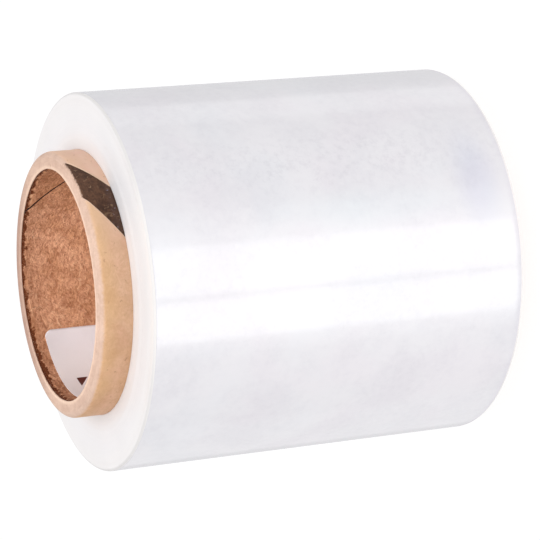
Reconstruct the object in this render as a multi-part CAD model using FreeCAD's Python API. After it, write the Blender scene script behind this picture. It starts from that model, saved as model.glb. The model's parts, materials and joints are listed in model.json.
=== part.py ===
"""Stretch wrap roll: clear film wound on a spiral-wound paper core, standing on one end of the core.

The axis of the core is +Z and the origin is the centre of the lower core end, so the roll stands on the
XY plane. The upper end is the one with the label inside the bore. Lengths are millimetres and angles are
degrees, counted from +X towards +Y.
"""
import FreeCAD
import Part

import math
import os

# Paper core: a spiral-wound tube with the standard 3 inch bore, longer than the film at both ends
core_bore = 76.2
core_wall = 6.0
core_overhang = 10.5
core_worn_edge_radius = 1.9
core_bore_bevel = 0.4

# Paper plies, glued on each other: all of them advance by the same pitch in one turn about the axis
ply_pitch = 178.0

# Outer ply: it is narrower than the pitch, and the dark ply below shows in the gap between its edges
outer_ply_thickness = 0.35
outer_gap_width = 10.6
outer_gap_angle_at_top = -38.8

# Inner ply: its edges nearly meet
inner_seam_width = 0.4
inner_seam_depth = 0.3
inner_seam_angle_at_top = 49.0

# Wound film: one solid for all the turns
film_width = 130.0
film_build = 18.9
turn_band_width = 2.5
turn_drift = 0.15
turn_drift_phase = 137.5
corner_setback = 0.9
corner_facets = 3
tail_step = 0.1
tail_angle = 100.0

# Paper label stuck to the wall of the bore
label_length = 76.2
label_arc = 50.8
label_thickness = 0.15
label_adhesive = 0.05
label_corner_radius = 3.0
label_inset = 5.2
label_first_edge_angle = 113.1

# Worked out from the sizes above
bore_radius = core_bore / 2
core_radius = bore_radius + core_wall
film_radius = core_radius + film_build
core_length = film_width + 2 * core_overhang
film_bottom = core_overhang
film_top = core_overhang + film_width
turn_per_mm = 360.0 / ply_pitch

# How far a cutting shape runs past what it cuts
cut_margin = 1.0

axis = FreeCAD.Vector(0, 0, 1)
centre = FreeCAD.Vector(0, 0, 0)


def polar(radius, angle, z=0.0):
    """The point at this radius, angle and height."""
    turn = math.radians(angle)
    return FreeCAD.Vector(radius * math.cos(turn), radius * math.sin(turn), z)


def section_point(radius, z):
    """A point of a section that is turned about the axis later."""
    return FreeCAD.Vector(radius, 0, z)


def line(start, end):
    return Part.LineSegment(start, end).toShape()


def arc(start, middle, end):
    return Part.Arc(start, middle, end).toShape()


def turned(edges):
    """The solid made by turning a closed section about the axis."""
    return Part.Face(Part.Wire(edges)).revolve(centre, axis, 360)


def core_blank():
    """The paper tube before its plies are cut, worn round at its outer edges and bevelled in the bore."""
    shoulder = core_radius - core_worn_edge_radius
    bevel_end = bore_radius + core_bore_bevel
    reach = core_worn_edge_radius * math.sqrt(0.5)
    low_hub = core_worn_edge_radius
    high_hub = core_length - core_worn_edge_radius
    outside = [
        arc(section_point(shoulder, 0), section_point(shoulder + reach, low_hub - reach),
            section_point(core_radius, low_hub)),
        line(section_point(core_radius, low_hub), section_point(core_radius, high_hub)),
        arc(section_point(core_radius, high_hub), section_point(shoulder + reach, high_hub + reach),
            section_point(shoulder, core_length)),
    ]
    ends_and_bore = Part.makePolygon([
        section_point(shoulder, core_length),
        section_point(bevel_end, core_length),
        section_point(bore_radius, core_length - core_bore_bevel),
        section_point(bore_radius, core_bore_bevel),
        section_point(bevel_end, 0),
        section_point(shoulder, 0),
    ])
    return turned(outside + ends_and_bore.Edges)


def ply_gap(inner, outer, angle_at_top, angle_span):
    """The space between the edges of one ply, as a helical bar from the core's lower end to its upper.

    Its section is a sector of a ring, square to the axis, and keeps its angle_span all the way.
    """
    middle = angle_at_top - core_length * turn_per_mm
    low = middle - angle_span / 2
    high = middle + angle_span / 2
    section = Part.Wire([
        arc(polar(outer, low), polar(outer, middle), polar(outer, high)),
        line(polar(outer, high), polar(inner, high)),
        arc(polar(inner, high), polar(inner, middle), polar(inner, low)),
        line(polar(inner, low), polar(outer, low)),
    ])
    path = Part.makeHelix(ply_pitch, core_length, (inner + outer) / 2)
    path.rotate(centre, axis, middle)
    return Part.Wire(path.Edges).makePipeShell([section], True, True)


def outer_gap():
    """The gap in the outer ply, down to the ply below. Its width is measured square to its edges."""
    floor = core_radius - outer_ply_thickness
    lean = math.atan(2 * math.pi * core_radius / ply_pitch)
    span = math.degrees(outer_gap_width / math.cos(lean) / core_radius)
    bar = ply_gap(floor - cut_margin, core_radius + cut_margin, outer_gap_angle_at_top, span)
    return bar.cut(Part.makeCylinder(floor, core_length))


def inner_seam():
    """The narrow gap where the edges of the innermost ply nearly meet."""
    span = math.degrees(inner_seam_width / bore_radius)
    return ply_gap(bore_radius - cut_margin, bore_radius + inner_seam_depth,
                   inner_seam_angle_at_top, span)


def core_tube():
    """The finished paper tube, with the gap in its outer ply and the seam in its bore."""
    return core_blank().cut([outer_gap(), inner_seam()])


def end_profile():
    """Radius and inset of each break in the ends of the wound film, from the core outwards.

    The turns drift to and fro a little as they are wound, so the ends are faintly ribbed, and the
    outermost turns lie further and further in, round a quarter of a circle.
    """
    corner_start = film_radius - corner_setback
    count = max(1, round((corner_start - core_radius) / turn_band_width))
    profile = []
    for index in range(count + 1):
        radius = core_radius + (corner_start - core_radius) * index / count
        profile.append((radius, turn_drift * (1 + math.sin(math.radians(turn_drift_phase * index))) / 2))
    last_drift = profile[-1][1]
    for index in range(corner_facets):
        turn = math.radians(90 * (index + 1) / corner_facets)
        profile.append((corner_start + corner_setback * math.sin(turn),
                        last_drift + corner_setback * (1 - math.cos(turn))))
    return profile


def film_ends():
    """A ring whose two ends are ribbed like the ends of the wound film, wider than the film outside."""
    profile = end_profile()
    profile.append((film_radius + cut_margin, profile[-1][1]))
    lower = [section_point(radius, film_bottom + inset) for radius, inset in profile]
    upper = [section_point(radius, film_top - inset) for radius, inset in profile]
    outline = lower + upper[::-1] + lower[:1]
    return turned(Part.makePolygon(outline).Edges)


def wound_film():
    """All the turns as one solid. The outside is one turn of a spiral, which ends at the film's tail.

    The spiral is four quarter arcs. Each is a quarter of the tail step smaller than the one before, with
    its hub moved so that they run into each other, and a short step at the tail closes the outline.
    """
    shrink = tail_step / 4
    edges = []
    hub = polar(0, 0)
    radius = film_radius
    first = start = polar(radius, tail_angle)
    for quarter in range(4):
        begin = tail_angle + 90 * quarter
        middle = hub + polar(radius, begin + 45)
        end = hub + polar(radius, begin + 90)
        edges.append(arc(start, middle, end))
        hub = hub + polar(shrink, begin + 90)
        radius -= shrink
        start = end
    edges.append(line(start, first))
    film_bar = Part.Face(Part.Wire(edges)).extrude(axis * (core_length + cut_margin))
    return film_bar.common(film_ends())


def bore_label():
    """The paper label, bent to the wall of the bore behind its adhesive, with rounded corners."""
    back = bore_radius - label_adhesive
    front = back - label_thickness
    half_span = math.degrees(label_arc / back) / 2
    low = core_length - label_inset - label_length
    shell = Part.makeCylinder(back, label_length, FreeCAD.Vector(0, 0, low))
    shell = shell.cut(Part.makeCylinder(front, core_length))
    half_width = back * math.sin(math.radians(half_span))
    near = front * math.cos(math.radians(half_span)) - cut_margin
    block = Part.makeBox(core_radius - near, 2 * half_width, label_length,
                         FreeCAD.Vector(near, -half_width, low))
    corners = [edge for edge in block.Edges
               if abs(edge.tangentAt(edge.FirstParameter).x) > 0.5]
    block = block.makeFillet(label_corner_radius, corners)
    block.rotate(centre, axis, label_first_edge_angle + half_span)
    return shell.common(block)


def main():
    os.makedirs("parts", exist_ok=True)
    pieces = {
        "core_tube": core_tube(),
        "film_roll": wound_film(),
        "core_label": bore_label(),
    }
    for name, shape in pieces.items():
        solids = shape.Solids
        whole = solids[0] if len(solids) == 1 else Part.makeCompound(solids)
        whole.exportStep(os.path.join("parts", name + ".step"))
        box = whole.BoundBox
        print(name, len(solids), "solid", round(whole.Volume), "mm3, valid", whole.isValid(),
              "z", round(box.ZMin, 3), round(box.ZMax, 3))


main()
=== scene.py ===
import json
import math

import bpy
from mathutils import Matrix, Vector, noise


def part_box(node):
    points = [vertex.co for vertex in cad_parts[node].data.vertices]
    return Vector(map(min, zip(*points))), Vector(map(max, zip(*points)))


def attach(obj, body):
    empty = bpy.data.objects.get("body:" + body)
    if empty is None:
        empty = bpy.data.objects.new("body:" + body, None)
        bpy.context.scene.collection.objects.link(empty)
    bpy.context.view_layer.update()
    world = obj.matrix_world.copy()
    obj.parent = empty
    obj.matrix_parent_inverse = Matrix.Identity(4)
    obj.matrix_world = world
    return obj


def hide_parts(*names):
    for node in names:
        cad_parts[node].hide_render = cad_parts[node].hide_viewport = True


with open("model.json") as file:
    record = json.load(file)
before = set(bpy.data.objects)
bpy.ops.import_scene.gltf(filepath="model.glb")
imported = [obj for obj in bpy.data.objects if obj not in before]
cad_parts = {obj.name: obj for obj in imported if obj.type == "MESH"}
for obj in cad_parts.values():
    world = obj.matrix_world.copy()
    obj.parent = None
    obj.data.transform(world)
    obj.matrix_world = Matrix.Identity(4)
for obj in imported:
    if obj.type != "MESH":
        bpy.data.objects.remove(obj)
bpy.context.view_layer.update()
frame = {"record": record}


# The core is a tube of paper board: strips of kraft paper wound as a helix, glued on each other and sawn
# to length. The tan outer ply leaves a gap where the dark ply below shows, the saw has left a pale, worn
# rim at each end, and the ply in the bore is rough, with a seam and a ragged edge under the rim.
MM = 0.001
core_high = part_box("core_tube")[1]
film_low, film_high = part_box("film_roll")
core_top = core_high.z
core_radius = core_high.x
core_bore = next(mount for mount in frame["record"]["mounts"] if mount["name"] == "core_bore")
bore_radius = core_bore["dims"]["r_mm"] * MM

ply_pitch = 178 * MM
outer_ply_thickness = 0.35 * MM
outer_gap_width = 10.6 * MM
outer_gap_at_top = math.radians(-38.8)
seam_width = 0.4 * MM
seam_depth = 0.3 * MM
seam_at_top = math.radians(49.0)
seam_fringe = 0.3 * MM
ply_edge_strip = 0.24 * MM
worn_edge_radius = 1.9 * MM
bore_bevel = 0.4 * MM
ply_edge_wall = math.radians(0.05)
columns_round_core = 470
closest_columns = math.radians(0.25)
worn_edge_rows = 7

# Unevenness of the core in millimetres: the heights and widths of its waves, and the torn edge in the bore
bore_lumps = ((0.10, 6.0), (0.06, 2.0))
bevel_lumps = ((0.16, 1.3),)
rim_dents = ((0.07, 3.0),)
torn_reach = 1.5
torn_waves = ((0.8, 3.0), (0.35, 1.1))
torn_depth = 0.35


def steps(start, end, count):
    """Evenly spaced values from start up to, but not including, end."""
    return [start + (end - start) * index / count for index in range(count)]


def broken_steps(breaks, end):
    """Values from the first break up to, but not including, end; each break says how many it starts."""
    stops = [value for value, count in breaks[1:]] + [end]
    return [value for (start, count), stop in zip(breaks, stops) for value in steps(start, stop, count)]


def smooth_step(low, high, value):
    """How far the value lies between low and high, 0 to 1, eased at both ends."""
    share = min(1.0, max(0.0, (value - low) / (high - low)))
    return share * share * (3 - 2 * share)


def core_columns():
    """Angle at the upper end of each column of the mesh, and how it lies: on a ply, in the gap or seam.

    The columns follow the plies, so the edges of the gap and the seam are columns of their own. The outer
    ply is pale along its edges, where it was slit, and painted shade makes the seam and a fringe of the
    inner ply beside it dark.
    """
    lean = math.atan(math.tau * core_radius / ply_pitch)
    gap_half = outer_gap_width / math.cos(lean) / core_radius / 2
    seam_half = seam_width / bore_radius / 2
    fringe = seam_fringe / bore_radius
    strip = ply_edge_strip / math.cos(lean) / core_radius
    marks = [
        (outer_gap_at_top - gap_half - strip, "edge"), (outer_gap_at_top - gap_half, "edge"),
        (outer_gap_at_top - gap_half + ply_edge_wall, "gap"),
        (outer_gap_at_top + gap_half - ply_edge_wall, "foot"),
        (outer_gap_at_top + gap_half, "edge"), (outer_gap_at_top + gap_half + strip, "ply"),
        (seam_at_top - seam_half - fringe, "fringe"), (seam_at_top - seam_half, "fringe"),
        (seam_at_top - seam_half + ply_edge_wall, "seam"), (seam_at_top + seam_half - ply_edge_wall, "seam"),
        (seam_at_top + seam_half, "fringe"), (seam_at_top + seam_half + fringe, "ply"),
    ]
    columns = list(marks)
    for angle in steps(-math.pi, math.pi, columns_round_core):
        from_gap = abs(angle - outer_gap_at_top)
        if min(abs(angle - mark) for mark, lies in marks) < closest_columns:
            continue
        if gap_half < from_gap < gap_half + strip:
            continue
        columns.append((angle, "gap" if from_gap < gap_half else "ply"))
    return sorted(columns)


def core_rows():
    """Radius, height and zone of each row of the mesh, once round the section of the wall."""
    shoulder = core_radius - worn_edge_radius
    low_hub = worn_edge_radius
    high_hub = core_top - worn_edge_radius
    heights = broken_steps([(low_hub, 8), (film_low.z, 46), (film_high.z, 9)], high_hub)
    rows = [(core_radius, z, "outer") for z in heights]
    for turn in steps(0, math.pi / 2, worn_edge_rows):
        rows.append((shoulder + worn_edge_radius * math.cos(turn),
                     high_hub + worn_edge_radius * math.sin(turn), "worn"))
    bevel_end = bore_radius + bore_bevel
    rows += [(radius, core_top, "rim") for radius in steps(shoulder, bevel_end, 8)]
    rows.append((bevel_end, core_top, "bevel"))
    depths = broken_steps([(bore_bevel, 10), (3 * MM, 26), (34 * MM, 34), (core_top - 12 * MM, 7),
                           (core_top - 3 * MM, 7)], core_top - bore_bevel)
    rows += [(bore_radius, core_top - depth, "bore") for depth in depths + [core_top - bore_bevel]]
    rows.append((bevel_end, 0.0, "bevel"))
    rows += [(radius, 0.0, "foot") for radius in steps(bevel_end, shoulder, 5)[1:]]
    for turn in steps(math.pi / 2, 0, worn_edge_rows):
        rows.append((shoulder + worn_edge_radius * math.cos(turn),
                     low_hub - worn_edge_radius * math.sin(turn), "worn"))
    return rows


def waves(point, sizes):
    """Noise at a point, as the sum of waves of these heights and widths, all in millimetres."""
    return sum(height * noise.noise(point / width) for height, width in sizes)


def worn_radius(radius, angle, z, zone):
    """Radius of the wall once the bore is rough, its bevel lumpy and the inner ply torn at its ends."""
    point = Vector((bore_radius * math.cos(angle), bore_radius * math.sin(angle), z)) / MM
    if zone == "bore":
        depth = min(core_top - z, z) / MM
        torn_end = torn_reach + waves(point.to_2d().to_3d(), torn_waves)
        gone = 1 - smooth_step(torn_end - 0.2, torn_end + 0.5, depth)
        torn = torn_depth * smooth_step(0.1, 0.5, depth) * gone
        return radius + (abs(waves(point, bore_lumps)) + torn) * MM
    if zone == "bevel":
        return radius + waves(point, bevel_lumps) * MM
    return radius


def new_object(name, data):
    """An object with this data, in the scene and at its origin."""
    item = bpy.data.objects.new(name, data)
    bpy.context.scene.collection.objects.link(item)
    return item


def grid_mesh(name, rows, columns, place, finish):
    """A mesh that closes on itself along its rows and its columns.

    place(row, column) gives a point, and finish(row, column) the number of the material of the face there.
    """
    points = [place(row, column) for row in rows for column in columns]
    across = len(columns)
    faces = []
    finishes = []
    for i, row in enumerate(rows):
        after = (i + 1) % len(rows)
        for j, column in enumerate(columns):
            beside = (j + 1) % across
            faces.append((i * across + j, i * across + beside, after * across + beside, after * across + j))
            finishes.append(finish(row, column))
    mesh = bpy.data.meshes.new(name)
    mesh.from_pydata(points, [], faces)
    mesh.polygons.foreach_set("material_index", finishes)
    mesh.polygons.foreach_set("use_smooth", [True] * len(faces))
    mesh.update()
    return new_object(name, mesh)


def core_point(row, column):
    """A point of the core, on the helix that its column follows down from the upper end."""
    radius, z, zone = row
    angle_at_top, lies = column
    angle = angle_at_top - math.tau * (core_top - z) / ply_pitch
    radius = worn_radius(radius, angle, z, zone)
    if lies in ("gap", "foot") and zone in ("outer", "worn"):
        radius = min(radius, core_radius - outer_ply_thickness)
    if lies == "seam" and zone in ("bore", "bevel"):
        radius = max(radius, bore_radius + seam_depth)
    if zone == "rim":
        around = Vector((math.cos(angle), math.sin(angle), 0)) * radius / MM
        z -= abs(waves(around, rim_dents)) * MM
    return (radius * math.cos(angle), radius * math.sin(angle), z)


outer_finish, dark_finish, cut_finish, bore_finish, seam_finish, slit_finish = range(6)


def core_finish(row, column):
    """The finish of a face: a ply outside or in the bore, or the board where the core is cut."""
    zone = row[2]
    lies = column[1]
    if zone in ("outer", "worn"):
        return {"gap": dark_finish, "edge": slit_finish, "foot": slit_finish}.get(lies, outer_finish)
    if zone == "bore":
        return seam_finish if lies in ("seam", "fringe") else bore_finish
    return cut_finish


core = grid_mesh("paper_core", core_rows(), core_columns(), core_point, core_finish)


def new_group(name, inputs, outputs):
    """An empty shader node group, with its sockets and the nodes that lead in and out."""
    group = bpy.data.node_groups.new(name, "ShaderNodeTree")
    for label, kind, value in inputs:
        socket = group.interface.new_socket(name=label, in_out="INPUT", socket_type="NodeSocket" + kind)
        socket.default_value = value
    for label, kind in outputs:
        group.interface.new_socket(name=label, in_out="OUTPUT", socket_type="NodeSocket" + kind)
    return group, group.nodes.new("NodeGroupInput"), group.nodes.new("NodeGroupOutput")


def link(tree, source, target):
    """Joins two sockets of a tree."""
    tree.links.new(source, target)


def feed(tree, value, socket):
    """Sets a socket to a number or a colour, or links another socket to it."""
    if isinstance(value, (int, float, tuple)):
        socket.default_value = value
    else:
        link(tree, value, socket)


def math_node(tree, operation, first, second):
    """A Math node; each operand is a socket or a number."""
    node = tree.nodes.new("ShaderNodeMath")
    node.operation = operation
    feed(tree, first, node.inputs[0])
    feed(tree, second, node.inputs[1])
    return node.outputs[0]


def weighted(tree, first, first_share, second, second_share):
    """The sum of two sockets, each multiplied by its share."""
    return math_node(tree, "ADD", math_node(tree, "MULTIPLY", first, first_share),
                     math_node(tree, "MULTIPLY", second, second_share))


def noise_node(tree, vector, scale, detail, roughness=0.5, distortion=0.0):
    """A Noise Texture; scale is a number or a socket."""
    node = tree.nodes.new("ShaderNodeTexNoise")
    for label, value in (("Vector", vector), ("Scale", scale), ("Detail", detail),
                         ("Roughness", roughness), ("Distortion", distortion)):
        feed(tree, value, node.inputs[label])
    return node.outputs["Fac"]


def ramp_node(tree, value, low, high, to_low=0.0, to_high=1.0):
    """A Map Range node that is smooth at both ends."""
    node = tree.nodes.new("ShaderNodeMapRange")
    node.interpolation_type = "SMOOTHSTEP"
    link(tree, value, node.inputs["Value"])
    for label, number in (("From Min", low), ("From Max", high), ("To Min", to_low), ("To Max", to_high)):
        node.inputs[label].default_value = number
    return node.outputs["Result"]


def mix_node(tree, share, first, second, blend="MIX"):
    """A colour mix; share is a socket, and each colour is a socket or four numbers."""
    node = tree.nodes.new("ShaderNodeMix")
    node.data_type = "RGBA"
    node.blend_type = blend
    link(tree, share, node.inputs["Factor"])
    feed(tree, first, node.inputs[6])
    feed(tree, second, node.inputs[7])
    return node.outputs[2]


def tinted(tree, colour, tint, share):
    """The colour multiplied by a tint, as far as the share says; share is a socket."""
    return mix_node(tree, share, colour, tint, "MULTIPLY")


def axes(tree, vector):
    """The X, Y and Z of a vector, as sockets."""
    split = tree.nodes.new("ShaderNodeSeparateXYZ")
    link(tree, vector, split.inputs["Vector"])
    return split.outputs


def length_of(tree, vector):
    """The length of a vector."""
    node = tree.nodes.new("ShaderNodeVectorMath")
    node.operation = "LENGTH"
    link(tree, vector, node.inputs[0])
    return node.outputs["Value"]


def axis_distance(tree, vector):
    """How far the surface lies from the axis of the roll."""
    flat = tree.nodes.new("ShaderNodeVectorMath")
    flat.operation = "MULTIPLY"
    flat.inputs[1].default_value = (1.0, 1.0, 0.0)
    link(tree, vector, flat.inputs[0])
    return length_of(tree, flat.outputs["Vector"])


def end_depth(tree, vector):
    """How far the surface lies from the nearer end of the core."""
    height = axes(tree, vector)["Z"]
    return math_node(tree, "MINIMUM", height, math_node(tree, "SUBTRACT", core_top, height))


def put_out(tree, result, **sockets):
    """Links each socket to the output of the group that has its name."""
    for label, socket in sockets.items():
        link(tree, socket, result.inputs[label])


def rgb(red, green, blue):
    """A linear colour from the three numbers of a screen colour, 0 to 255."""
    return tuple(((value / 255 + 0.055) / 1.055) ** 2.4 for value in (red, green, blue)) + (1.0,)


def paper_group():
    """Pulp paper: cloudy patches, short fibres that cross each other, flecks of bark, and single hairs."""
    group, given, result = new_group(
        "Pulp paper",
        [("Vector", "Vector", (0, 0, 0)), ("Patch scale", "Float", 150.0), ("Fibre scale", "Float", 900.0),
         ("Fleck scale", "Float", 700.0)],
        [("Patch", "Float"), ("Fibre", "Float"), ("Fleck", "Float"), ("Hair", "Float"), ("Height", "Float")])
    vector = given.outputs["Vector"]
    patch = noise_node(group, vector, given.outputs["Patch scale"], 5, 0.6, 0.4)
    fibre_a = noise_node(group, vector, given.outputs["Fibre scale"], 3, 0.6, 2.2)
    stretched = group.nodes.new("ShaderNodeMapping")
    stretched.inputs["Rotation"].default_value = (0.6, 0.9, 0.4)
    stretched.inputs["Scale"].default_value = (1.0, 0.25, 1.6)
    link(group, vector, stretched.inputs["Vector"])
    fibre_b = noise_node(group, stretched.outputs["Vector"], given.outputs["Fibre scale"], 2, 0.5, 1.2)
    fibre = weighted(group, fibre_a, 0.55, fibre_b, 0.45)
    flecks = noise_node(group, vector, given.outputs["Fleck scale"], 1, 0.4, 0.8)
    fleck = ramp_node(group, flecks, 0.69, 0.78)
    height = weighted(group, patch, 0.5, fibre, 0.5)
    curl_scale = math_node(group, "MULTIPLY", given.outputs["Fibre scale"], 0.4)
    curls = noise_node(group, vector, curl_scale, 2, 0.5, 0.6)
    from_curl = math_node(group, "ABSOLUTE", math_node(group, "SUBTRACT", curls, 0.5), 0.0)
    broken = noise_node(group, vector, math_node(group, "MULTIPLY", given.outputs["Fibre scale"], 0.6), 1)
    hair = math_node(group, "MULTIPLY", ramp_node(group, from_curl, 0.02, 0.005),
                     ramp_node(group, broken, 0.54, 0.60))
    put_out(group, result, Patch=patch, Fibre=fibre, Fleck=fleck, Hair=hair, Height=height)
    return group


paper = paper_group()


def sawn_group():
    """Where the saw and wear have taken a ply off at either end of the core: the pale board shows."""
    group, given, result = new_group(
        "Sawn edge",
        [("Vector", "Vector", (0, 0, 0)), ("Colour", "Color", (0.5, 0.5, 0.5, 1)),
         ("Board", "Color", (0.8, 0.6, 0.5, 1)), ("Reach", "Float", 0.5 * MM)],
        [("Colour", "Color")])
    frayed = noise_node(group, given.outputs["Vector"], 900.0, 4, 0.65)
    frayed = math_node(group, "MULTIPLY", math_node(group, "SUBTRACT", frayed, 0.5), 1.1 * MM)
    frayed_depth = math_node(group, "ADD", end_depth(group, given.outputs["Vector"]), frayed)
    share = math_node(group, "DIVIDE", frayed_depth, given.outputs["Reach"])
    bare = ramp_node(group, share, 1.8, 0.5)
    put_out(group, result, Colour=mix_node(group, bare, given.outputs["Colour"], given.outputs["Board"]))
    return group


sawn = sawn_group()


def new_material(name, roughness):
    """A material with its tree, its Principled shader and its object coordinates."""
    material = bpy.data.materials.new(name)
    material.use_nodes = True
    tree = material.node_tree
    shader = tree.nodes["Principled BSDF"]
    shader.inputs["Roughness"].default_value = roughness
    coordinates = tree.nodes.new("ShaderNodeTexCoord").outputs["Object"]
    return material, tree, shader, coordinates


def group_node(tree, group, vector, **values):
    """A node group placed in a tree; a value is a number or a socket, and _ stands for a space."""
    node = tree.nodes.new("ShaderNodeGroup")
    node.node_tree = group
    link(tree, vector, node.inputs["Vector"])
    for label, value in values.items():
        feed(tree, value, node.inputs[label.replace("_", " ").capitalize()])
    return node.outputs


def bump(tree, shader, height, distance):
    """Raises the surface by up to this distance, as the height says."""
    node = tree.nodes.new("ShaderNodeBump")
    node.inputs["Distance"].default_value = distance
    node.inputs["Strength"].default_value = 1.0
    link(tree, height, node.inputs["Height"])
    link(tree, node.outputs["Normal"], shader.inputs["Normal"])


board_dark = rgb(197, 164, 144)
board_light = rgb(215, 184, 164)
outer_sawn_reach = 0.85 * MM


def painted_far_side_shade(tree, vector, colour):
    """Painted shade: greyer at the ends of the core on the +Y side."""
    far_side_shade = math_node(tree, "MULTIPLY", ramp_node(tree, axes(tree, vector)["Y"], 14 * MM, 40 * MM),
                        ramp_node(tree, end_depth(tree, vector), 3.0 * MM, 1.2 * MM))
    return tinted(tree, colour, (0.68, 0.62, 0.62, 1), far_side_shade)


def paper_material(name, dark, light, fleck, roughness, patch_scale, fibre_scale, depth, contrast=0.14,
                   hairs=0.0, sawn_reach=0.0, tone_and_paint_light=None):
    """Bare paper: patches and fibres between two shades, dark flecks, and the same fibres raised.

    A smaller contrast number sets the two shades off more sharply. The hairs have the colour of the flecks
    too, as far as that number says. With a sawn_reach, the paper is gone that far from either end of the
    core, where the board shows, with painted shade on the +Y side. The function given last tones the colour
    over the surface and paints light and shade on it.
    """
    material, tree, shader, vector = new_material(name, roughness)
    pulp = group_node(tree, paper, vector, patch_scale=patch_scale, fibre_scale=fibre_scale)
    shade = weighted(tree, pulp["Patch"], 0.5, pulp["Fibre"], 0.5)
    tone = ramp_node(tree, shade, 0.5 - contrast, 0.5 + contrast)
    colour = mix_node(tree, tone, dark, light)
    if tone_and_paint_light:
        colour = tone_and_paint_light(tree, vector, colour)
    colour = mix_node(tree, math_node(tree, "MULTIPLY", pulp["Fleck"], 0.5), colour, fleck)
    if hairs:
        colour = mix_node(tree, math_node(tree, "MULTIPLY", pulp["Hair"], hairs), colour, fleck)
    if sawn_reach:
        board = mix_node(tree, tone, board_dark, board_light)
        edge = group_node(tree, sawn, vector, colour=colour, board=board, reach=sawn_reach)
        colour = painted_far_side_shade(tree, vector, edge["Colour"])
    link(tree, colour, shader.inputs["Base Color"])
    bump(tree, shader, pulp["Height"], depth)
    shader.inputs["Specular IOR Level"].default_value = 0.4
    return material


def outer_ply_hue_and_painted_light(tree, vector, colour):
    """Painted light makes it paler towards +X and beside the film, and painted shade browner on the other
    side; it is also browner at the rim, and uneven in hue.
    """
    place = axes(tree, vector)
    # Painted light: paler towards +X, the side where more light falls.
    paler = ramp_node(tree, place["X"], 2 * MM, 34 * MM, 0.0, 0.85)
    colour = mix_node(tree, paler, colour, rgb(230, 191, 166))
    # Painted shade: browner towards -X.
    browner = ramp_node(tree, place["X"], -10 * MM, -34 * MM)
    colour = tinted(tree, colour, (0.985, 0.945, 0.91, 1), browner)
    beside_rim = math_node(tree, "MULTIPLY",
                           ramp_node(tree, place["Z"], core_top - 7 * MM, core_top - 2.5 * MM),
                           ramp_node(tree, place["X"], 42 * MM, 28 * MM, 0.2, 1.0))
    colour = tinted(tree, colour, (0.93, 0.935, 0.85, 1), beside_rim)
    # Painted light: paler beside the film.
    beside_film = ramp_node(tree, place["Z"], film_high.z + 5.5 * MM, film_high.z + 3.0 * MM)
    colour = tinted(tree, colour, (1.06, 1.08, 1.12, 1), beside_film)
    hue = noise_node(tree, vector, 120.0, 2)
    yellower = ramp_node(tree, hue, 0.50, 0.64)
    colour = tinted(tree, colour, (1.0, 0.99, 0.95, 1), yellower)
    rosier = ramp_node(tree, hue, 0.50, 0.36)
    return tinted(tree, colour, (1.0, 0.97, 0.985, 1), rosier)


def dark_ply_painted_sheen_and_scraps(tree, vector, colour):
    """A faint painted sheen, milky, beside the film, with small scraps of film that cling there."""
    beside_film = ramp_node(tree, axes(tree, vector)["Z"], film_high.z + 3.2 * MM, film_high.z + 0.8 * MM)
    # Painted sheen: a milky tone mixed into the dark ply beside the film.
    colour = mix_node(tree, math_node(tree, "MULTIPLY", beside_film, 0.6), colour, rgb(90, 66, 56))
    scraps = ramp_node(tree, noise_node(tree, vector, 1100.0, 2, 0.5), 0.63, 0.72, 0.0, 0.8)
    return mix_node(tree, math_node(tree, "MULTIPLY", scraps, beside_film), colour, rgb(150, 140, 158))


def rim_painted_light_and_shade(tree, vector, colour):
    """A painted highlight makes the rim paler along the bore, and painted shade greyer on the +Y side."""
    # Painted highlight along the bore edge of the rim.
    bore_edge_highlight = ramp_node(tree, axis_distance(tree, vector), bore_radius + 1.9 * MM, bore_radius + 0.6 * MM)
    colour = mix_node(tree, math_node(tree, "MULTIPLY", bore_edge_highlight, 0.6), colour, rgb(238, 208, 184))
    return painted_far_side_shade(tree, vector, colour)


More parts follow.
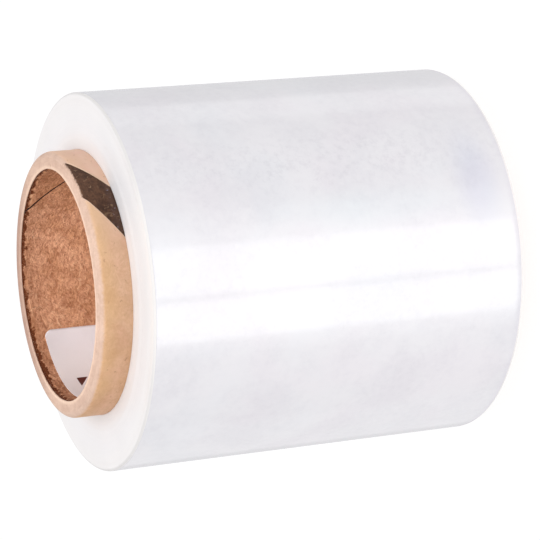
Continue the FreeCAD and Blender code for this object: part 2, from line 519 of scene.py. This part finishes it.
def inner_material():
    """The ply in the bore: coarse, mottled and hairy, and painted shade darkens it at its sides, deep in and
    beside the rim.

    Right under the rim it is torn, and the torn edge is painted dark, as shade under the rim, and reaches
    further in at the sides.
    """
    material, tree, shader, vector = new_material("rough inner ply", 0.92)
    pulp = group_node(tree, paper, vector, patch_scale=150.0, fibre_scale=340.0)
    grain = noise_node(tree, vector, 760.0, 4, 0.72, 1.0)
    tone = ramp_node(tree, weighted(tree, pulp["Fibre"], 0.5, grain, 0.5), 0.36, 0.64)
    colour = mix_node(tree, tone, rgb(183, 126, 95), rgb(240, 184, 147))
    dark_patch = ramp_node(tree, pulp["Patch"], 0.60, 0.38)
    colour = tinted(tree, colour, (0.82, 0.76, 0.69, 1), dark_patch)
    colour = mix_node(tree, math_node(tree, "MULTIPLY", pulp["Fleck"], 0.6), colour, rgb(112, 66, 42))
    colour = mix_node(tree, math_node(tree, "MULTIPLY", pulp["Hair"], 0.35), colour, rgb(250, 206, 168))
    side = axes(tree, vector)["X"]
    depth = end_depth(tree, vector)
    # Painted shade: the bore is darker towards -X, towards +X, beside the rim and deep in.
    towards_minus_x = ramp_node(tree, side, 20 * MM, -2 * MM)
    colour = tinted(tree, colour, (0.90, 0.88, 0.86, 1), towards_minus_x)
    towards_plus_x = ramp_node(tree, side, 22 * MM, 34 * MM)
    colour = tinted(tree, colour, (0.95, 0.91, 0.84, 1), towards_plus_x)
    beside_rim = ramp_node(tree, depth, 9 * MM, 2.5 * MM)
    colour = tinted(tree, colour, (0.89, 0.865, 0.85, 1), beside_rim)
    deep_in = ramp_node(tree, depth, 9 * MM, 20 * MM)
    colour = tinted(tree, colour, (0.94, 0.94, 0.93, 1), deep_in)
    # Painted shade: the torn edge under the rim is painted dark, further in at the sides.
    ragged = noise_node(tree, vector, 420.0, 3, 0.65)
    ragged = math_node(tree, "MULTIPLY", math_node(tree, "SUBTRACT", ragged, 0.5), 5.0 * MM)
    further = math_node(tree, "ADD", ramp_node(tree, side, -10 * MM, -26 * MM, 0.0, 0.5 * MM),
                        ramp_node(tree, side, 12 * MM, 28 * MM, 0.0, 0.1 * MM))
    ragged_depth = math_node(tree, "SUBTRACT", math_node(tree, "ADD", depth, ragged), further)
    torn = ramp_node(tree, ragged_depth, 1.8 * MM, 1.2 * MM, 0.0, 0.95)
    colour = mix_node(tree, torn, colour, rgb(96, 43, 14))
    link(tree, colour, shader.inputs["Base Color"])
    relief = math_node(tree, "ADD", pulp["Height"], math_node(tree, "MULTIPLY", grain, 0.35))
    bump(tree, shader, relief, 1.05 * MM)
    shader.inputs["Specular IOR Level"].default_value = 0.2
    return material


for material in (
    paper_material("tan outer ply", dark=rgb(206, 162, 125), light=rgb(223, 181, 147),
                   fleck=rgb(164, 116, 84), roughness=0.62, patch_scale=110, fibre_scale=520,
                   depth=0.06 * MM, sawn_reach=outer_sawn_reach, tone_and_paint_light=outer_ply_hue_and_painted_light),
    paper_material("dark second ply", dark=rgb(61, 37, 25), light=rgb(104, 71, 50),
                   fleck=rgb(160, 128, 98), roughness=0.85, patch_scale=240, fibre_scale=620,
                   depth=0.14 * MM, contrast=0.15, hairs=0.35, sawn_reach=0.4 * MM,
                   tone_and_paint_light=dark_ply_painted_sheen_and_scraps),
    paper_material("cut board", dark=board_dark, light=board_light, fleck=rgb(176, 138, 112),
                   roughness=0.8, patch_scale=200, fibre_scale=800, depth=0.12 * MM,
                   tone_and_paint_light=rim_painted_light_and_shade),
    inner_material(),
    # Painted shade: the seam and the fringe beside it are near black, the shade in the groove.
    paper_material("seam between inner plies with painted shade", dark=rgb(26, 10, 5), light=rgb(46, 20, 10),
                   fleck=rgb(70, 40, 24), roughness=0.9, patch_scale=170, fibre_scale=620,
                   depth=0.1 * MM),
    paper_material("slit edge of the outer ply", dark=rgb(222, 186, 158), light=rgb(237, 203, 176),
                   fleck=rgb(190, 146, 112), roughness=0.75, patch_scale=200, fibre_scale=700,
                   depth=0.08 * MM, sawn_reach=outer_sawn_reach),
):
    core.data.materials.append(material)
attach(core, "root")
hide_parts("core_tube")


# The film is clear stretch film, hundreds of turns thick, wound on the core under tension. The turns
# stick to each other, so the outside is one glossy, slightly cloudy skin, and the ends are the milky
# edges of all the turns. It ends in a tail that clings along the back of the roll.
film_corner = 0.9 * MM
tail_step = 0.1 * MM
tail_angle = math.radians(100.0)
turn_band_width = 2.5 * MM
turn_drift = 0.15 * MM
turn_drift_phase = math.radians(137.5)
film_radius = (film_high.x - film_low.x) / 2 + tail_step / 4
columns_round_film = 480
film_end_rings = 52
film_side_rows = 62
film_corner_rows = 6
end_roughness = 0.035 * MM
tail_wall = math.radians(0.04)

# Faint bands round the side of the film: the height, the width and the seed of each set
side_bands = ((0.03 * MM, 9.0 * MM, 3.0), (0.012 * MM, 2.6 * MM, 7.0))


def film_columns():
    """Angle of each column, and its share of the way round the outer turn.

    The step of the tail lies between the last column and the first.
    """
    columns = [(tail_angle + math.tau * share, share) for share in steps(0.0, 1.0, columns_round_film)]
    columns.append((tail_angle + math.tau - tail_wall, 1.0))
    return columns


def turn_inset(radius):
    """How far the edge of a turn lies in from the end of the roll, as the turns drift to and fro."""
    corner_start = film_radius - film_corner
    count = round((corner_start - core_radius) / turn_band_width)
    place = (min(radius, corner_start) - core_radius) / (corner_start - core_radius) * count
    index = min(int(place), count - 1)
    ends = [turn_drift * (1 + math.sin(turn_drift_phase * (index + side))) / 2 for side in (0, 1)]
    return ends[0] + (ends[1] - ends[0]) * (place - index)


def film_rows():
    """Radius, height and zone of each row of the film, once round its section."""
    corner_start = film_radius - film_corner
    rows = []
    rings = steps(core_radius, corner_start, film_end_rings)
    for radius in rings:
        rows.append((radius, film_low.z + turn_inset(radius), "end"))
    edge = turn_inset(corner_start)
    for turn in steps(0, math.pi / 2, film_corner_rows):
        rows.append((corner_start + film_corner * math.sin(turn),
                     film_low.z + edge + film_corner * (1 - math.cos(turn)), "corner"))
    side_low = film_low.z + edge + film_corner
    side_high = film_high.z - edge - film_corner
    rows += [(film_radius, z, "side") for z in steps(side_low, side_high, film_side_rows)]
    for turn in steps(math.pi / 2, 0, film_corner_rows):
        rows.append((corner_start + film_corner * math.sin(turn),
                     film_high.z - edge - film_corner * (1 - math.cos(turn)), "corner"))
    for radius in [corner_start] + rings[:0:-1]:
        rows.append((radius, film_high.z - turn_inset(radius), "end"))
    rows.append((core_radius, film_high.z - turn_inset(core_radius), "bore"))
    return rows


def film_point(row, column):
    """A point of the film: the outer turn is a spiral, the ends are rough and the side has faint bands."""
    radius, z, zone = row
    angle, share = column
    outside = smooth_step(film_radius - 3 * film_corner, film_radius - film_corner, radius)
    radius -= outside * tail_step * share
    if zone == "end":
        side = 1 if z > (film_low.z + film_high.z) / 2 else -1
        along_turns = Vector((radius / MM * 1.7, 0.6 * math.cos(angle), 0.6 * math.sin(angle) + side))
        z -= side * end_roughness * abs(noise.noise(along_turns))
    if zone == "side":
        radius -= abs(sum(height * noise.noise(Vector((z / width, seed, 0.0)))
                          for height, width, seed in side_bands))
    return (radius * math.cos(angle), radius * math.sin(angle), z)


side_finish, end_finish = range(2)


def film_finish(row, column):
    """The edges of the turns show at both ends and round the corners, and the skin everywhere else."""
    near_end = min(row[1] - film_low.z, film_high.z - row[1]) < 0.9 * film_corner
    return end_finish if near_end else side_finish


film = grid_mesh("wound_film", film_rows(), film_columns(), film_point, film_finish)


def haze_group():
    """Clinging film: clouds and mottles where the turns touch, and bands along the web."""
    group, given, result = new_group(
        "Film haze",
        [("Vector", "Vector", (0, 0, 0)), ("Cloud scale", "Float", 60.0), ("Mottle scale", "Float", 300.0)],
        [("Cloud", "Float"), ("Mottle", "Float"), ("Band", "Float"), ("Height", "Float")])
    vector = given.outputs["Vector"]
    cloud = noise_node(group, vector, given.outputs["Cloud scale"], 2, 0.5, 0.2)
    mottle = noise_node(group, vector, given.outputs["Mottle scale"], 3, 0.55)
    along_web = group.nodes.new("ShaderNodeMapping")
    along_web.inputs["Scale"].default_value = (6.0, 6.0, 260.0)
    link(group, vector, along_web.inputs["Vector"])
    band = noise_node(group, along_web.outputs["Vector"], 1.0, 3, 0.6)
    height = weighted(group, cloud, 0.7, band, 0.3)
    put_out(group, result, Cloud=cloud, Mottle=mottle, Band=band, Height=height)
    return group


haze = haze_group()


def near(tree, vector, place, stretch, reach):
    """How near the surface is to a place, 0 to 1; stretch shortens the reach along each axis."""
    mapping = tree.nodes.new("ShaderNodeMapping")
    mapping.vector_type = "POINT"
    mapping.inputs["Location"].default_value = [-value * scale for value, scale in zip(place, stretch)]
    mapping.inputs["Scale"].default_value = stretch
    link(tree, vector, mapping.inputs["Vector"])
    return ramp_node(tree, length_of(tree, mapping.outputs["Vector"]), reach, 0.15 * reach)


def film_skin():
    """The outer turn: white with a breath of lavender, glossy, cloudy where the turns below touch it.

    Light splits into faint colours in the film, so it is bluish and greenish in places and rosy in others.
    """
    material, tree, shader, vector = new_material("film skin", 0.42)
    marks = group_node(tree, haze, vector, cloud_scale=45.0, mottle_scale=420.0)
    cloudy = ramp_node(tree, weighted(tree, marks["Cloud"], 0.7, marks["Mottle"], 0.3), 0.34, 0.62)
    colour = mix_node(tree, cloudy, rgb(215, 213, 217), rgb(221, 219, 222))
    clinging = near(tree, vector, (32 * MM, -54 * MM, 78 * MM), (0.9, 0.6, 0.12), 15 * MM)
    elsewhere = ramp_node(tree, marks["Cloud"], 0.60, 0.46, 0.15, 0.45)
    fine = noise_node(tree, vector, 380.0, 5, 0.72)
    specks = math_node(tree, "MULTIPLY", ramp_node(tree, fine, 0.44, 0.70),
                       math_node(tree, "MAXIMUM", clinging, elsewhere))
    colour = tinted(tree, colour, (0.91, 0.905, 0.918, 1), specks)
    hue = noise_node(tree, vector, 36.0, 2)
    rosier = ramp_node(tree, hue, 0.50, 0.66)
    colour = tinted(tree, colour, (1.0, 0.985, 0.992, 1), rosier)
    cooler = ramp_node(tree, hue, 0.48, 0.34)
    colour = tinted(tree, colour, (0.985, 0.997, 1.0, 1), cooler)
    blue_patch = near(tree, vector, (21 * MM, -59 * MM, 23 * MM), (0.85, 0.5, 1.8), 20 * MM)
    colour = tinted(tree, colour, (0.90, 0.92, 0.975, 1), blue_patch)
    green_band = near(tree, vector, (15 * MM, -61 * MM, 62 * MM), (2.6, 0.5, 0.5), 24 * MM)
    colour = tinted(tree, colour, (0.965, 1.0, 1.0, 1), green_band)
    # Painted shade: the skin is greyer along the lower end of the roll.
    lower_edge = ramp_node(tree, axes(tree, vector)["Z"], film_low.z + 3.4 * MM, film_low.z + 1.0 * MM)
    colour = tinted(tree, colour, (0.955, 0.95, 0.965, 1), lower_edge)
    link(tree, colour, shader.inputs["Base Color"])
    bump(tree, shader, marks["Height"], 0.008 * MM)
    shader.inputs["IOR"].default_value = 1.6
    dulled = math_node(tree, "MULTIPLY", lower_edge, 0.45)
    link(tree, math_node(tree, "SUBTRACT", 1.0, dulled), shader.inputs["Coat Weight"])
    shader.inputs["Coat Roughness"].default_value = 0.15
    shader.inputs["Coat IOR"].default_value = 1.7
    return material


def film_edges():
    """The ends of the roll: the milky edges of the turns, ring upon ring.

    They are creamy near the outside. A painted glow makes them whiter there at the front, and painted shade
    makes them greyer where the corner is rounded.
    """
    material, tree, shader, vector = new_material("film edges", 0.5)
    radius = axis_distance(tree, vector)
    ring_place = tree.nodes.new("ShaderNodeCombineXYZ")
    link(tree, radius, ring_place.inputs["X"])
    rings = noise_node(tree, ring_place.outputs["Vector"], 900.0, 4, 0.7)
    marks = group_node(tree, haze, vector, cloud_scale=70.0, mottle_scale=600.0)
    ringed = ramp_node(tree, weighted(tree, rings, 0.6, marks["Cloud"], 0.4), 0.32, 0.68)
    colour = mix_node(tree, ringed, rgb(237, 236, 237), rgb(241, 240, 241))
    creamy = ramp_node(tree, radius, film_radius - 10 * MM, film_radius - 3 * MM)
    colour = tinted(tree, colour, (1.0, 0.988, 0.97, 1), creamy)
    # Painted light: a glow that makes the outer rings whiter at the front.
    in_front = ramp_node(tree, axes(tree, vector)["Y"], -50 * MM, -61 * MM, 0.0, 0.8)
    front_glow = math_node(tree, "MULTIPLY", in_front,
                      ramp_node(tree, radius, film_radius - 6 * MM, film_radius - 1.5 * MM))
    colour = mix_node(tree, front_glow, colour, rgb(251, 248, 246))
    # Painted shade: greyer where the corner is rounded.
    rounded = ramp_node(tree, radius, film_radius - 1.1 * MM, film_radius - 0.6 * MM)
    colour = tinted(tree, colour, (0.865, 0.86, 0.85, 1), rounded)
    link(tree, colour, shader.inputs["Base Color"])
    bump(tree, shader, rings, 0.02 * MM)
    shader.inputs["Coat Weight"].default_value = 0.3
    shader.inputs["Coat Roughness"].default_value = 0.35
    return material


film.data.materials.append(film_skin())
film.data.materials.append(film_edges())
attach(film, "root")
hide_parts("film_roll")


# The label is a piece of white paper with rounded corners, stuck to the wall of the bore at the near end
# of the roll. It is blank but for one small plain triangle, printed in dark red.
label_low, label_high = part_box("core_label")
label_radius = bore_radius - 0.22 * MM
label_thickness = 0.12 * MM
label_length = label_high.z - label_low.z
label_arc = 50.8 * MM
label_corner = 3.0 * MM
label_first_edge = math.radians(113.1)
label_columns = 64
label_rows = 64
label_waves = 0.06 * MM


def label_place(across, along, radius):
    """A point of the label, from how far it lies round the bore and how far down, both in metres."""
    angle = label_first_edge + across / bore_radius
    return (radius * math.cos(angle), radius * math.sin(angle), label_high.z - along)


def label_inset(along):
    """How much narrower the label is at this distance from its top, because of its rounded corners."""
    edge = min(along, label_length - along)
    if edge >= label_corner:
        return 0.0
    return label_corner - math.sqrt(label_corner ** 2 - (label_corner - edge) ** 2)


def make_label():
    """A thin sheet bent to the bore: a front and a back, joined round the edge."""
    mesh = bpy.data.meshes.new("bore_label")
    fine = [label_corner * (1 - math.cos(turn)) for turn in steps(0, math.pi / 2, 9)]
    down = fine + steps(label_corner, label_length - label_corner, label_rows)
    down += [label_length - value for value in [label_corner] + fine[::-1]]
    points = []
    places = []
    for side in (0, 1):
        for along in down:
            inset = label_inset(along)
            for index in range(label_columns + 1):
                across = inset + (label_arc - 2 * inset) * index / label_columns
                lift = label_waves * abs(noise.noise(Vector((across, along, 0)) / MM / 9.0))
                radius = label_radius - lift + side * label_thickness
                points.append(label_place(across, along, radius))
                places.append((across / label_arc, 1 - along / label_length))
    wide = label_columns + 1
    tall = len(down)
    sheet = wide * tall
    faces = []
    for i in range(tall - 1):
        for j in range(wide - 1):
            a = i * wide + j
            faces.append((a, a + wide, a + wide + 1, a + 1))
            faces.append((sheet + a, sheet + a + 1, sheet + a + wide + 1, sheet + a + wide))
    for i in range(tall - 1):
        for j in (0, wide - 1):
            a = i * wide + j
            quad = (a, sheet + a, sheet + a + wide, a + wide)
            faces.append(quad if j == 0 else quad[::-1])
    for j in range(wide - 1):
        for i in (0, tall - 1):
            a = i * wide + j
            quad = (a, a + 1, sheet + a + 1, sheet + a)
            faces.append(quad if i == 0 else quad[::-1])
    mesh.from_pydata(points, [], faces)
    uv = mesh.uv_layers.new(name="label")
    for loop in mesh.loops:
        uv.data[loop.index].uv = places[loop.vertex_index]
    mesh.polygons.foreach_set("use_smooth", [True] * len(faces))
    mesh.update()
    return new_object("bore_label", mesh)


label = make_label()
triangle_corner = (22.7 * MM, 5.4 * MM)
triangle_across = 5.6 * MM
triangle_along = 3.9 * MM


def label_paper():
    """White coated paper with one dark red triangle, which has a square corner."""
    material, tree, shader, vector = new_material("label paper", 0.55)
    pulp = group_node(tree, paper, vector, patch_scale=120.0, fibre_scale=1500.0)
    place = tree.nodes.new("ShaderNodeUVMap")
    place.uv_map = "label"
    share = axes(tree, place.outputs["UV"])
    cloudy = ramp_node(tree, pulp["Patch"], 0.35, 0.65)
    colour = mix_node(tree, cloudy, rgb(225, 220, 223), rgb(229, 224, 227))
    # Painted light: the label is whiter away from its first edge.
    whiter = ramp_node(tree, share["X"], 0.0, 0.42)
    colour = mix_node(tree, whiter, colour, rgb(246, 241, 241))
    across = math_node(tree, "MULTIPLY", share["X"], label_arc)
    along = math_node(tree, "MULTIPLY", math_node(tree, "SUBTRACT", 1.0, share["Y"]), label_length)
    sideways = math_node(tree, "SUBTRACT", across, triangle_corner[0])
    below = math_node(tree, "SUBTRACT", along, triangle_corner[1])
    slope = math_node(tree, "ADD", math_node(tree, "DIVIDE", sideways, triangle_across),
                      math_node(tree, "DIVIDE", below, triangle_along))
    soft = 0.05 * MM
    legs = math_node(tree, "MULTIPLY", ramp_node(tree, sideways, -soft, soft),
                     ramp_node(tree, below, -soft, soft))
    mask = math_node(tree, "MULTIPLY", legs, ramp_node(tree, slope, 1.02, 0.98))
    colour = mix_node(tree, mask, colour, rgb(84, 24, 18))
    link(tree, colour, shader.inputs["Base Color"])
    bump(tree, shader, pulp["Height"], 0.02 * MM)
    return material


label.data.materials.append(label_paper())
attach(label, "root")
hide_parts("core_label")


# Loose fibres stand up where the saw and the dispenser have roughened the edges of the bore. Each is a
# short bent hair of paper, and they are strewn along the two edges.
def fibre_tree(material):
    """Geometry nodes: short bent fibres, strewn along a circle and turned at random."""
    tree = bpy.data.node_groups.new("Edge fibres", "GeometryNodeTree")
    sockets = {}
    for label_text, kind, value in (("Radius", "Float", 40 * MM), ("Count", "Int", 100),
                                    ("Length", "Float", 1 * MM), ("Thickness", "Float", 0.05 * MM),
                                    ("Seed", "Int", 1)):
        socket = tree.interface.new_socket(name=label_text, in_out="INPUT", socket_type="NodeSocket" + kind)
        socket.default_value = value
        sockets[label_text] = socket
    tree.interface.new_socket(name="Geometry", in_out="OUTPUT", socket_type="NodeSocketGeometry")
    given = tree.nodes.new("NodeGroupInput").outputs
    result = tree.nodes.new("NodeGroupOutput")
    circle = tree.nodes.new("GeometryNodeCurvePrimitiveCircle")
    circle.inputs["Resolution"].default_value = 256
    link(tree, given["Radius"], circle.inputs["Radius"])
    spots = tree.nodes.new("GeometryNodeResampleCurve")
    link(tree, circle.outputs["Curve"], spots.inputs["Curve"])
    link(tree, given["Count"], spots.inputs["Count"])
    hair = tree.nodes.new("GeometryNodeCurveQuadraticBezier")
    hair.inputs["Resolution"].default_value = 4
    hair.inputs["Start"].default_value = (0, 0, 0)
    hair.inputs["Middle"].default_value = (0.35, 0.15, 0.5)
    hair.inputs["End"].default_value = (0.1, 0.5, 1.0)
    round_section = tree.nodes.new("GeometryNodeCurvePrimitiveCircle")
    round_section.inputs["Resolution"].default_value = 4
    slenderness = math_node(tree, "DIVIDE", given["Thickness"], given["Length"])
    link(tree, slenderness, round_section.inputs["Radius"])
    hair_mesh = tree.nodes.new("GeometryNodeCurveToMesh")
    hair_mesh.inputs["Fill Caps"].default_value = True
    link(tree, hair.outputs["Curve"], hair_mesh.inputs["Curve"])
    link(tree, round_section.outputs["Curve"], hair_mesh.inputs["Profile Curve"])
    strewn = tree.nodes.new("GeometryNodeInstanceOnPoints")
    link(tree, spots.outputs["Curve"], strewn.inputs["Points"])
    link(tree, hair_mesh.outputs["Mesh"], strewn.inputs["Instance"])
    turn = tree.nodes.new("FunctionNodeRandomValue")
    turn.data_type = "FLOAT_VECTOR"
    turn.inputs[0].default_value = (-1.4, -1.4, 0.0)
    turn.inputs[1].default_value = (1.4, 1.4, math.tau)
    link(tree, given["Seed"], turn.inputs["Seed"])
    link(tree, turn.outputs[0], strewn.inputs["Rotation"])
    size = tree.nodes.new("FunctionNodeRandomValue")
    size.data_type = "FLOAT"
    size.inputs[2].default_value = 0.35
    size.inputs[3].default_value = 1.0
    link(tree, given["Seed"], size.inputs["Seed"])
    link(tree, math_node(tree, "MULTIPLY", size.outputs[1], given["Length"]), strewn.inputs["Scale"])
    real = tree.nodes.new("GeometryNodeRealizeInstances")
    link(tree, strewn.outputs["Instances"], real.inputs["Geometry"])
    painted = tree.nodes.new("GeometryNodeSetMaterial")
    painted.inputs["Material"].default_value = material
    link(tree, real.outputs["Geometry"], painted.inputs["Geometry"])
    link(tree, painted.outputs["Geometry"], result.inputs["Geometry"])
    return tree, sockets


fibre_material = paper_material("loose fibres", dark=rgb(150, 105, 80), light=rgb(220, 180, 150),
                                fleck=rgb(120, 80, 60), roughness=0.9, patch_scale=300,
                                fibre_scale=900, depth=0.01 * MM)
edge_fibres, fibre_sockets = fibre_tree(fibre_material)
fibre_count = 420
fibre_length = 0.9 * MM
fibre_thickness = 0.03 * MM
fibre_reach = 1.0 * MM


def strew_fibres(name, height, seed):
    """The fibres of one edge of the bore, as a plain mesh in its place."""
    holder = new_object(name + "_holder", bpy.data.meshes.new(name + "_holder"))
    modifier = holder.modifiers.new("fibres", "NODES")
    modifier.node_group = edge_fibres
    values = {"Radius": bore_radius + 0.1 * MM, "Count": fibre_count, "Length": fibre_length,
              "Thickness": fibre_thickness, "Seed": seed}
    for label_text, value in values.items():
        modifier[fibre_sockets[label_text].identifier] = value
    bpy.context.view_layer.update()
    shown = holder.evaluated_get(bpy.context.evaluated_depsgraph_get())
    mesh = bpy.data.meshes.new_from_object(shown)
    bpy.data.objects.remove(holder)
    mesh.transform(Matrix.Translation((0, 0, height)))
    piece = new_object(name, mesh)
    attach(piece, "root")


strew_fibres("upper_edge_fibres", core_top - fibre_reach, 3)
strew_fibres("lower_edge_fibres", fibre_reach, 8)


# The studio: a soft light from the top, and soft panels that stand low round the roll. The two panels in
# front show in the glossy film as bright stripes along the roll, and the weaker ones beside them let the
# stripes fade out. The panels at the sides and the back show in its other sides.
panel_distance = 0.9
roll_middle = Vector((0, 0, core_top / 2))


def aim(item, place, target):
    """Puts a light in its place and turns it towards its target."""
    item.location = place
    item.rotation_mode = "QUATERNION"
    item.rotation_quaternion = (Vector(target) - Vector(place)).to_track_quat("-Z", "Y")


def lamp(name, place, target, width, height, power):
    """A soft rectangular light that the camera doesn't see."""
    data = bpy.data.lights.new(name, "AREA")
    data.shape = "RECTANGLE"
    data.size = width
    data.size_y = height
    data.energy = power
    item = new_object(name, data)
    aim(item, place, target)
    item.visible_camera = False


def panel(name, from_azimuth, to_azimuth, radiance, low=-0.52, high=-0.02):
    """A soft panel that stands between two directions, seen from the roll.

    Azimuth 0 is straight in front, and it counts towards -X. The film, seen from above, mirrors what is
    below the level of the floor, so the panels stand there.
    """
    middle = math.radians(from_azimuth + to_azimuth) / 2
    half = math.radians(to_azimuth - from_azimuth) / 2
    width = 2 * panel_distance * math.tan(half)
    height = high - low
    place = Vector((-math.sin(middle) * panel_distance, -math.cos(middle) * panel_distance,
                    (low + high) / 2))
    lamp(name, place, (0, 0, place.z), width, height, radiance * math.pi * width * height)


panel("stripe_panel_upper", -14.0, 14.3, 2.4)
panel("stripe_panel_lower", 16.6, 41.0, 2.4)
panel("upper_fade_near", -23.0, -14.0, 0.9)
panel("upper_fade_far", -34.0, -23.0, 0.45)
panel("lower_fade", 41.0, 50.0, 0.5)
panel("right_side_panel", -120.0, -98.0, 0.38, low=-0.6, high=-0.1)
panel("left_side_panel", 104.0, 150.0, 0.2, low=-0.6, high=-0.1)
panel("back_panel", 170.0, 190.0, 1.8)
lamp("top_light", (0.05, -0.3, 1.3), roll_middle, width=1.0, height=1.0, power=6.8)

# A narrow spot above the camera reaches into the bore, which the other lights hardly enter. It is a
# little flattened, and aimed a touch to the front, so that it stays off the far side of the rim.
bore_mouth = Vector((0, -1.5 * MM, core_top))
spot_elevation = math.radians(50.0)
spot_azimuth = math.radians(2.0)
spot_distance = 1.3
spot_reach = 38 * MM
spot_data = bpy.data.lights.new("bore_spot", "SPOT")
spot_data.energy = 59.0
spot_data.spot_size = 2 * math.atan(spot_reach / spot_distance)
spot_data.spot_blend = 0.3
spot_data.shadow_soft_size = 0.012
spot = new_object("bore_spot", spot_data)
spot_direction = Vector((math.sin(spot_azimuth) * math.cos(spot_elevation),
                         -math.cos(spot_azimuth) * math.cos(spot_elevation), math.sin(spot_elevation)))
aim(spot, bore_mouth + spot_direction * spot_distance, bore_mouth)
spot.scale = (1.0, 0.85, 1.0)

world = bpy.data.worlds.new("studio")
world.use_nodes = True
surroundings = world.node_tree.nodes["Background"]
surroundings.inputs["Color"].default_value = (0.98, 0.98, 1.0, 1.0)
surroundings.inputs["Strength"].default_value = 0.74
bpy.context.scene.world = world

# The floor is plain and glows, so that it is as white as the photograph's ground. In front of the roll and
# beside it, where the photograph's view doesn't look, the camera sees it a shade darker, so that the pale
# film stands out from it in the other views.
floor_half = 4.0
floor_glow = 0.82
floor_dimming = 0.11
dimming_start = -0.28
dimming_end = -0.48
floor_mesh = bpy.data.meshes.new("floor")
floor_mesh.from_pydata([(-floor_half, -floor_half, 0), (floor_half, -floor_half, 0),
                        (floor_half, floor_half, 0), (-floor_half, floor_half, 0)], [], [(0, 1, 2, 3)])
floor = new_object("floor", floor_mesh)
floor_paint, floor_tree, floor_shader, floor_vector = new_material("floor", 0.9)
floor_tone = noise_node(floor_tree, floor_vector, 3.0, 2)
floor_colour = mix_node(floor_tree, floor_tone, (0.21, 0.21, 0.21, 1), (0.24, 0.24, 0.24, 1))
link(floor_tree, floor_colour, floor_shader.inputs["Base Color"])
floor_shader.inputs["Emission Color"].default_value = (1, 1, 1, 1)
floor_place = axes(floor_tree, floor_vector)
aside = math_node(floor_tree, "MULTIPLY", math_node(floor_tree, "ABSOLUTE", floor_place["X"], 0.0), 2.0)
behind = math_node(floor_tree, "SUBTRACT", floor_place["Y"], aside)
dimmer = ramp_node(floor_tree, behind, dimming_start, dimming_end, 0.0, floor_dimming)
seen = floor_tree.nodes.new("ShaderNodeLightPath").outputs["Is Camera Ray"]
glow = math_node(floor_tree, "SUBTRACT", floor_glow, math_node(floor_tree, "MULTIPLY", dimmer, seen))
link(floor_tree, glow, floor_shader.inputs["Emission Strength"])
floor_shader.inputs["Specular IOR Level"].default_value = 0.0
floor_mesh.materials.append(floor_paint)
floor.visible_glossy = False
floor.visible_shadow = False

# The camera stands where the photograph was taken from: in front of the roll and above it, looking down on
# it, and turned on its side.
camera_right = Vector((-0.09773129, -0.38802745, -0.91645147))
camera_up = Vector((0.99521284, -0.03810484, -0.08999681))
camera_back = Vector((0.0, -0.92085977, 0.38989394))
camera_place = Vector((-1.89, -770.04, 400.4)) * MM
picture_pixels = 540
focal_pixels = 2447.343
camera_data = bpy.data.cameras.new("camera")
camera_data.sensor_width = 36.0
camera_data.lens = camera_data.sensor_width * focal_pixels / picture_pixels
camera_data.clip_start = 0.05
camera_data.clip_end = 20
camera = new_object("camera", camera_data)
camera_turn = Matrix((camera_right, camera_up, camera_back)).transposed().to_4x4()
camera.matrix_world = Matrix.Translation(camera_place) @ camera_turn
bpy.context.scene.camera = camera
bpy.context.scene.view_settings.view_transform = "Standard"
